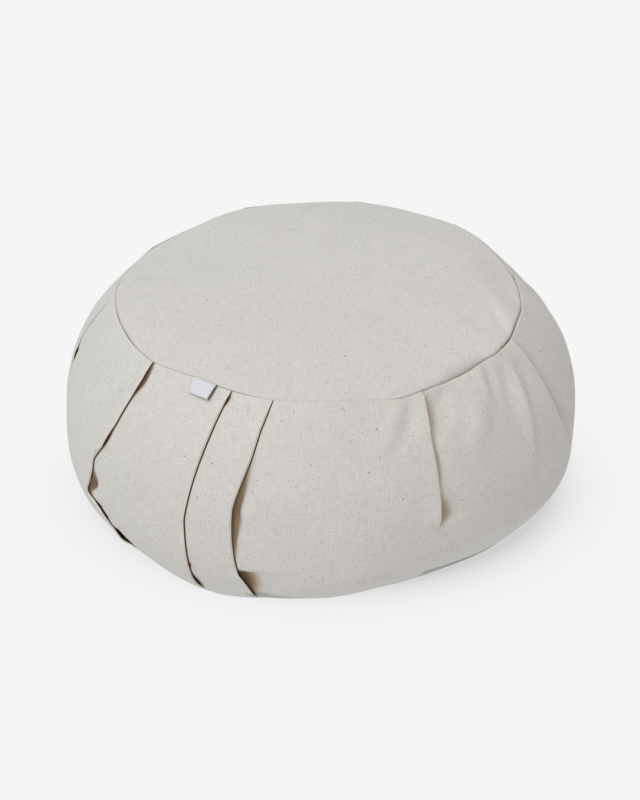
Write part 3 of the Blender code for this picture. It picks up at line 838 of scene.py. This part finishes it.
class Socket:
    """A node's output that takes part in Python arithmetic: each step adds a Math node."""

    def __init__(self, tree, output):
        self.tree = tree
        self.output = output

    def math(self, operation, *others):
        values = dict(enumerate((self, *others)))
        return self.tree.add("ShaderNodeMath", {"operation": operation}, values)

    def __add__(self, other):
        return self.math("ADD", other)

    def __sub__(self, other):
        return self.math("SUBTRACT", other)

    def __mul__(self, other):
        return self.math("MULTIPLY", other)

    def __rsub__(self, other):
        return self.tree.add("ShaderNodeMath", {"operation": "SUBTRACT"}, {0: other, 1: self})

    __radd__ = __add__
    __rmul__ = __mul__

    def other(self, place):
        """Another output of the same node."""
        return Socket(self.tree, self.output.node.outputs[place])

    def above(self, low, high):
        """0 below low, 1 above high, smooth between them."""
        settings = {"interpolation_type": "SMOOTHSTEP"}
        return self.tree.add("ShaderNodeMapRange", settings, {0: self, 1: low, 2: high, 3: 0.0, 4: 1.0})


class Finish:
    """The nodes of a material or a world. add() makes any node: settings first, then values or links."""

    def __init__(self, name, owners=None):
        self.material = (bpy.data.materials if owners is None else owners).new(name)
        self.material.use_nodes = True
        self.tree = self.material.node_tree
        self.tree.nodes.clear()

    def add(self, kind, settings=None, values=None, output=0):
        node = self.tree.nodes.new(kind)
        for name, setting in (settings or {}).items():
            setattr(node, name, setting)
        for place, value in (values or {}).items():
            if isinstance(value, Socket):
                self.tree.links.new(value.output, node.inputs[place])
            else:
                node.inputs[place].default_value = value
        return Socket(self, node.outputs[output]) if node.outputs else None

    def scaled(self, vector, x, y):
        """A vector with its first two parts scaled."""
        return self.add("ShaderNodeVectorMath", {"operation": "MULTIPLY"}, {0: vector, 1: (x, y, 1.0)})

    def noise(self, place, width, height, detail=0.0):
        """Noise about 0.5, with features of a width and a height on the flat cloth."""
        return self.add("ShaderNodeTexNoise", {"noise_dimensions": "2D"},
                        {"Vector": self.scaled(place, 1 / width, 1 / height), "Scale": 1.0, "Detail": detail})

    def mixed(self, factor, first, second, blend="MIX"):
        """Two colours mixed."""
        settings = {"data_type": "RGBA", "blend_type": blend}
        return self.add("ShaderNodeMix", settings, {0: factor, 6: first, 7: second}, output=2)

    def threads(self, place, pitch):
        """Waves across and along the cloth, whose signs change from thread to thread."""
        turns = self.scaled(place, math.pi / pitch, math.pi / pitch)
        across = self.add("ShaderNodeSeparateXYZ", None, {0: turns})
        return across.math("SINE"), across.other(1).math("SINE")

    def painted(self, name):
        """A value that the piece's points carry."""
        return self.add("ShaderNodeAttribute", {"attribute_name": name}, output=2)

    def grey(self, value):
        """A colour with one value in its three parts."""
        return self.add("ShaderNodeCombineColor", None, {0: value, 1: value, 2: value})

    def finish(self, values):
        """Close the material with a Principled surface."""
        surface = self.add("ShaderNodeBsdfPrincipled", None, values)
        self.add("ShaderNodeOutputMaterial", None, {"Surface": surface})
        return self.material


def colour(values):
    return (*values, 1.0)


def make_canvas(look):
    """Unbleached cotton canvas: plain weave, uneven threads, slubs and husk flecks, with painted shade in its
    folds and seams and painted highlights on its pressed edges.
    """
    canvas = Finish(CANVAS_NAME)
    place = canvas.add("ShaderNodeUVMap", {"uv_map": "cloth"})
    across, up = canvas.threads(place, look.thread_pitch)
    thread = 1.5 * look.thread_pitch
    weave = across * up
    grooves = across.math("ABSOLUTE") + up.math("ABSOLUTE")

    warp = canvas.noise(place, thread, THREAD_RUN, detail=1.0) - 0.5
    weft = canvas.noise(place, THREAD_RUN, thread, detail=1.0) - 0.5
    grain = canvas.noise(place, thread, thread, detail=1.0) - 0.5
    slubs = (canvas.noise(place, SLUB_LENGTH, SLUB_WIDTH).above(0.70, 0.80)
             + canvas.noise(place, SLUB_WIDTH, SLUB_LENGTH).above(0.70, 0.80))
    patches = canvas.noise(place, PATCH_SIZE, PATCH_SIZE, detail=2.0) - 0.5

    tone = (1.0 + warp * 0.16 + weft * 0.16 + grain * 0.22 - slubs * 0.045 + patches * 0.05
            + weave * 0.02)
    cloth = canvas.mixed(1.0, colour(look.canvas), canvas.grey(tone), blend="MULTIPLY")

    ragged = canvas.noise(place, RAGGED_SIZE, RAGGED_SIZE) * 0.3
    speckle = None
    for cell, radius, share, strength in FLECKS:
        spread = canvas.scaled(place, 1 / (cell * MM), 1 / (cell * MM))
        settings = {"voronoi_dimensions": "2D", "feature": "F1"}
        distance = canvas.add("ShaderNodeTexVoronoi", settings, {"Vector": spread, "Scale": 1.0})
        chance = canvas.add("ShaderNodeSeparateColor", None, {0: distance.other("Color")})
        limit = (chance.other(1) * 0.6 + 0.4) * (radius / cell) * (ragged + 0.85)
        spot = (limit - distance).above(0.0, 0.12 * radius / cell)
        spot = spot * chance.above(1 - share, 1 - share + 0.02) * strength
        speckle = spot if speckle is None else speckle.math("MAXIMUM", spot)
    cloth = canvas.mixed(speckle, cloth, colour(look.fleck))

    # Painted light: a highlight along pressed edges and below the top seam, shade in the seams, shade in the
    # folds and their gaps, and a shadow line where a fold closes.
    deep = canvas.painted("deep")
    cloth = canvas.mixed(canvas.painted("edge") * 0.4, cloth, colour(look.cream))
    cloth = canvas.mixed(canvas.painted("shade"), cloth, colour(look.seam_shade))
    cloth = canvas.mixed(deep * 2.0, cloth, colour(look.deep))
    cloth = canvas.mixed(deep * 2.0 - 1.0, cloth, colour(look.dark))

    relief = weave * 0.5 + grooves * 0.35 + warp * 0.8 + weft * 0.8 + slubs * 0.6
    bump = canvas.add("ShaderNodeBump", None, {"Strength": 0.45, "Distance": 0.12 * MM, "Height": relief})
    return canvas.finish({"Base Color": cloth, "Roughness": 0.93, "Normal": bump, "Sheen Weight": 0.12,
                          "Sheen Roughness": 0.5, "Specular IOR Level": 0.25})


def make_tape(look):
    """White woven tape with fine ribs."""
    tape = Finish("woven tape")
    place = tape.add("ShaderNodeUVMap", {"uv_map": "cloth"})
    across, up = tape.threads(place, TAPE_RIB)
    ribs = up.math("ABSOLUTE")
    uneven = tape.noise(place, TAPE_RIB, TAPE_RUN, detail=1.0) - 0.5
    tone = 0.97 + ribs * 0.03 + uneven * 0.08
    cloth = tape.mixed(1.0, colour(look.tape), tape.grey(tone), blend="MULTIPLY")
    # Painted shade on the right of the tape's back, inside its fold.
    cloth = tape.mixed(tape.painted("behind"), cloth, colour(look.tape_behind))
    relief = ribs * 0.6 + across * up * 0.4 + uneven
    bump = tape.add("ShaderNodeBump", None, {"Strength": 0.4, "Distance": 0.06 * MM, "Height": relief})
    return tape.finish({"Base Color": cloth, "Roughness": 0.7, "Normal": bump, "Sheen Weight": 0.05,
                        "Specular IOR Level": 0.35})


def make_sky(stage):
    """A studio that is brighter overhead than at its sides."""
    sky = Finish("studio", bpy.data.worlds)
    way = sky.add("ShaderNodeTexCoord")
    height = sky.add("ShaderNodeSeparateXYZ", None, {0: way}, output=2)
    side, back = height.other(0), height.other(1)
    bright = stage.horizon + stage.zenith * height.math("MAXIMUM", 0.0) - stage.side_light * side
    warmth = 0.5 + 0.4 * side - 0.4 * back
    tint = sky.mixed(warmth, colour(stage.cool), colour(stage.warm))
    light = sky.add("ShaderNodeBackground", None,
                    {"Color": sky.mixed(1.0, sky.grey(bright), tint, blend="MULTIPLY")})
    sky.add("ShaderNodeOutputWorld", None, {"Surface": light})
    return sky.material


def canvas_material():
    return bpy.data.materials.get(CANVAS_NAME) or make_canvas(bpy.context.scene.zafu_finish)


# ---------------------------------------------------------------- operators

class ZAFU_OT_side_cloth(bpy.types.Operator):
    """Sew the pleated side over its filling"""
    bl_idname = "zafu.side_cloth"
    bl_label = "Side Cloth"

    def execute(self, context):
        points, painted_shading, strips = side_points(context.scene.zafu_sizes)
        places = cloth_places(points, strips)
        mesh = grid_mesh(points, places, painted_shading)
        side = add_piece("side_cloth", mesh, canvas_material(), "side_band")
        return {"FINISHED"}


class ZAFU_OT_top_cloth(bpy.types.Operator):
    """Lay the crowned top panel"""
    bl_idname = "zafu.top_cloth"
    bl_label = "Top Cloth"

    def execute(self, context):
        sizes = context.scene.zafu_sizes
        azimuths, shares = panel_grid(TOP_SPAN, TOP_STEPS)
        azimuths, shares = np.pad(azimuths, ((0, 0), (0, 1)), mode="edge"), np.pad(shares, ((0, 0), (0, 1)))
        radius, height = top_surface(azimuths, shares, sizes)
        points = at(azimuths, radius, height)
        outline = station(azimuths)
        shade = seam_shade(outline.seam_radius * (1 - shares), outline.seam_shade, outline)
        mesh = grid_mesh(points, points[..., :2], {"shade": shade})
        top = add_piece("top_cloth", mesh, canvas_material(), "top_panel")
        add_thickness(top, sizes.panel_cloth)
        return {"FINISHED"}


class ZAFU_OT_base_cloth(bpy.types.Operator):
    """Lay the base panel"""
    bl_idname = "zafu.base_cloth"
    bl_label = "Base Cloth"

    def execute(self, context):
        sizes = context.scene.zafu_sizes
        azimuths, shares = panel_grid(BASE_SPAN, BASE_STEPS)
        radius, height = base_surface(azimuths, shares, sizes)
        # The filling's lumps, of which a hollow takes at most a fifth of the height.
        lumpy = np.maximum(lumps(at(azimuths, radius, height)), -0.2 * height) * ease(2 * shares)
        points = np.pad(at(azimuths, radius, height + lumpy), ((0, 0), (0, 1), (0, 0)))
        shade = np.pad(base_shade(azimuths)[1] * ease(4 * shares - 1), ((0, 0), (0, 1)))
        mesh = grid_mesh(points, points[..., :2], {"shade": shade})
        bmesh.ops.recalc_face_normals(mesh, faces=mesh.faces)
        base = add_piece("base_cloth", mesh, canvas_material(), "base_panel")
        add_thickness(base, sizes.panel_cloth)
        return {"FINISHED"}


class ZAFU_OT_label_cloth(bpy.types.Operator):
    """Fold the blank label into the top seam"""
    bl_idname = "zafu.label_cloth"
    bl_label = "Seam Label"

    def execute(self, context):
        outline = station(LABEL_CENTRE)
        half_angle = math.degrees(0.5 * LABEL_WIDTH / float(outline.seam_radius))
        across, down = np.meshgrid(np.linspace(-1, 1, LABEL_COLUMNS), np.linspace(1, 0, LABEL_ROWS),
                                   indexing="ij")
        # Down the back, round the fold and up the front: how far each row hangs, and how far it stands off.
        straight = 0.5 - 0.5 * LABEL_TURN
        turn = math.pi * np.clip((down - straight) / LABEL_TURN, 0.0, 1.0)
        loop = 0.5 * LABEL_LOOP
        drop = np.minimum(np.minimum(down, 1 - down) / straight, 1.0)
        drop = LABEL_DROP * drop + loop * np.sin(turn)
        stand = LABEL_STAND + loop + loop * np.cos(turn)
        behind = 0.5 - 0.5 * np.cos(turn)
        right = 0.5 + 0.5 * across
        skew = (LABEL_LEAN - LABEL_SKEW * right) * (drop / LABEL_DROP) + LABEL_BEHIND * behind * right
        azimuth = LABEL_CENTRE + across * half_angle + np.degrees(skew / float(outline.seam_radius))
        curl = LABEL_CURL * (drop / LABEL_DROP) ** 2 * (0.6 + 0.4 * across)
        share = 1 - drop * LABEL_SLOPE / float(outline.seam_height - outline.base_height)
        radius, height, out, rise = plain_side(azimuth, share)
        stand = stand * (0.5 + 0.5 * ease(drop / LABEL_TUCK)) + curl
        points = at(azimuth, radius + out * stand, height + rise * stand)
        places = np.stack([across * 0.5 * LABEL_WIDTH, down * 2 * LABEL_DROP], axis=-1)
        # Painted shade on the tape's back, over its right part inside the fold.
        shaded = behind * ease(2 - (1 - across) * LABEL_WIDTH / LABEL_SHADED)
        mesh = grid_mesh(points, places, {"behind": shaded}, wrap=False)
        bmesh.ops.recalc_face_normals(mesh, faces=mesh.faces)
        tape = make_tape(context.scene.zafu_finish)
        label = add_piece("label_cloth", mesh, tape, "label_tab")
        add_thickness(label, LABEL_TAPE)
        return {"FINISHED"}


class ZAFU_OT_stage(bpy.types.Operator):
    """Set up the floor, the light and the camera"""
    bl_idname = "zafu.stage"
    bl_label = "Stage"

    def execute(self, context):
        stage = context.scene.zafu_stage
        scene = context.scene
        camera = bpy.data.objects.new("camera", bpy.data.cameras.new("camera"))
        scene.collection.objects.link(camera)
        camera.data.sensor_width = SENSOR_WIDTH
        camera.data.lens = stage.focal_pixels * SENSOR_WIDTH / PICTURE_HEIGHT
        back = Vector((0.0, -math.cos(stage.elevation), math.sin(stage.elevation)))
        camera.location = Vector(stage.aim) + back * stage.distance
        camera.rotation_euler = (0.5 * math.pi - stage.elevation, 0.0, 0.0)
        scene.camera = camera

        mesh = bmesh.new()
        bmesh.ops.create_grid(mesh, x_segments=1, y_segments=1, size=FLOOR_HALF)
        data = bpy.data.meshes.new("floor")
        mesh.to_mesh(data)
        mesh.free()
        floor = bpy.data.objects.new("floor", data)
        scene.collection.objects.link(floor)
        pale = Finish("pale_floor")
        place = pale.add("ShaderNodeTexCoord", output=3)
        middle, sides = stage.shade_middle, stage.shade_size
        vector = {"operation": "SUBTRACT"}, {0: place, 1: (*middle, 0.0)}
        spread = pale.scaled(pale.add("ShaderNodeVectorMath", *vector), 1 / sides[0], 1 / sides[1])
        distance = pale.add("ShaderNodeVectorMath", {"operation": "LENGTH"}, {0: spread}, output=1)
        beyond = (distance - 1.0).math("MAXIMUM", 0.0)
        shade = stage.floor_shade * (beyond * -stage.shade_fall).math("EXPONENT")
        glow = pale.add("ShaderNodeEmission", None, {"Color": pale.grey(stage.floor_white * (1.0 - shade))})
        pale.add("ShaderNodeOutputMaterial", None, {"Surface": glow})
        data.materials.append(pale.material)

        scene.world = make_sky(stage)
        key = bpy.data.objects.new("key", bpy.data.lights.new("key", "SUN"))
        key.data.energy = stage.key
        key.data.angle = stage.key_spread
        key.rotation_euler = Vector(stage.key_from).to_track_quat("Z", "Y").to_euler()
        scene.collection.objects.link(key)
        scene.view_settings.view_transform = "Standard"
        return {"FINISHED"}


class ZAFU_PT_cushion(bpy.types.Panel):
    """Zafu cushion"""
    bl_label = "Zafu"
    bl_space_type = "VIEW_3D"
    bl_region_type = "UI"
    bl_category = "Zafu"

    def draw(self, context):
        for operator in OPERATORS:
            self.layout.operator(operator.bl_idname)
        for name in SETTINGS:
            settings = getattr(context.scene, name)
            box = self.layout.box()
            for setting in settings.__annotations__:
                box.prop(settings, setting)


OPERATORS = (ZAFU_OT_stage, ZAFU_OT_side_cloth, ZAFU_OT_top_cloth, ZAFU_OT_base_cloth, ZAFU_OT_label_cloth)
SETTINGS = {"zafu_sizes": ZafuSizes, "zafu_finish": ZafuFinish, "zafu_stage": ZafuStage}
CLASSES = (*SETTINGS.values(), *OPERATORS, ZAFU_PT_cushion)


def register():
    for kind in CLASSES:
        bpy.utils.register_class(kind)
    for name, kind in SETTINGS.items():
        setattr(bpy.types.Scene, name, PointerProperty(type=kind))


def unregister():
    for name in SETTINGS:
        delattr(bpy.types.Scene, name)
    for kind in reversed(CLASSES):
        bpy.utils.unregister_class(kind)


def main():
    register()
    bpy.ops.zafu.stage()
    bpy.ops.zafu.side_cloth()
    bpy.ops.zafu.top_cloth()
    bpy.ops.zafu.base_cloth()
    bpy.ops.zafu.label_cloth()


if __name__ == "__main__":
    main()
